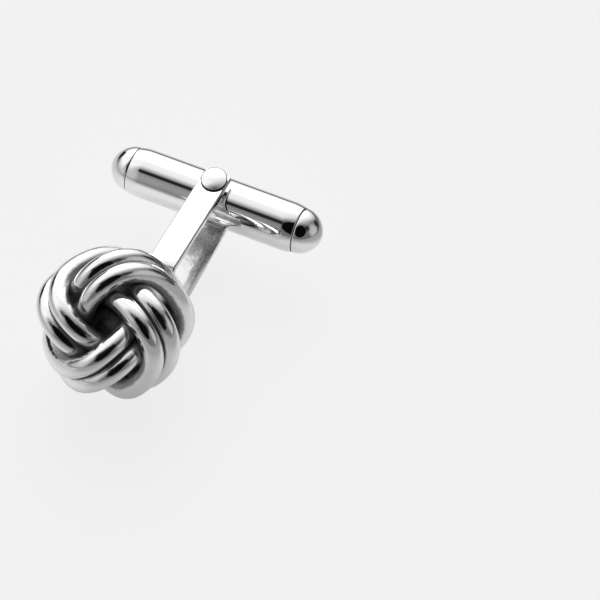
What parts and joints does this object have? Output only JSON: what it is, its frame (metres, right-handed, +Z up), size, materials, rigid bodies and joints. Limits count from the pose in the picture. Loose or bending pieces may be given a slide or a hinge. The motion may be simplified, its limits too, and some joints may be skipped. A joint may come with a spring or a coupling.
{
  "type": "knot cufflink",
  "caption": "Ball knot of doubled wire rings on a forked stem, with a bullet-ended toggle bar that swings on a rivet, lying on its side.",
  "frame": {"origin": "centre of the bottom of the bounding box, on the table under the stem", "axes": "+X along the toggle bar, +Y from the knot to the bar, +Z up as it lies on a table"},
  "size_m": [0.02, 0.0268, 0.0136],
  "materials": {
    "silver": "polished silver",
    "dark_silver": "darkened silver inside the knot"
  },
  "bodies": {
    "stem": {"ring_1_inner": "silver", "ring_1_outer": "silver", "ring_2_inner": "silver", "ring_2_outer": "silver", "ring_3_inner": "silver", "ring_3_outer": "silver", "ring_4_inner": "silver", "ring_4_outer": "silver", "knot_seat": "dark_silver", "stem_fork": "silver", "rivet": "silver"},
    "toggle": {"toggle_tube": "silver", "cap_left": "silver", "cap_right": "silver"}
  },
  "joints": [
    {"name": "toggle_swing", "type": "hinge", "parent": "stem", "child": "toggle", "pos_m": [0, 0.01094, 0.00569], "axis": [0, -0.2334, 0.9724], "range_deg": [-90, 90]}
  ]
}
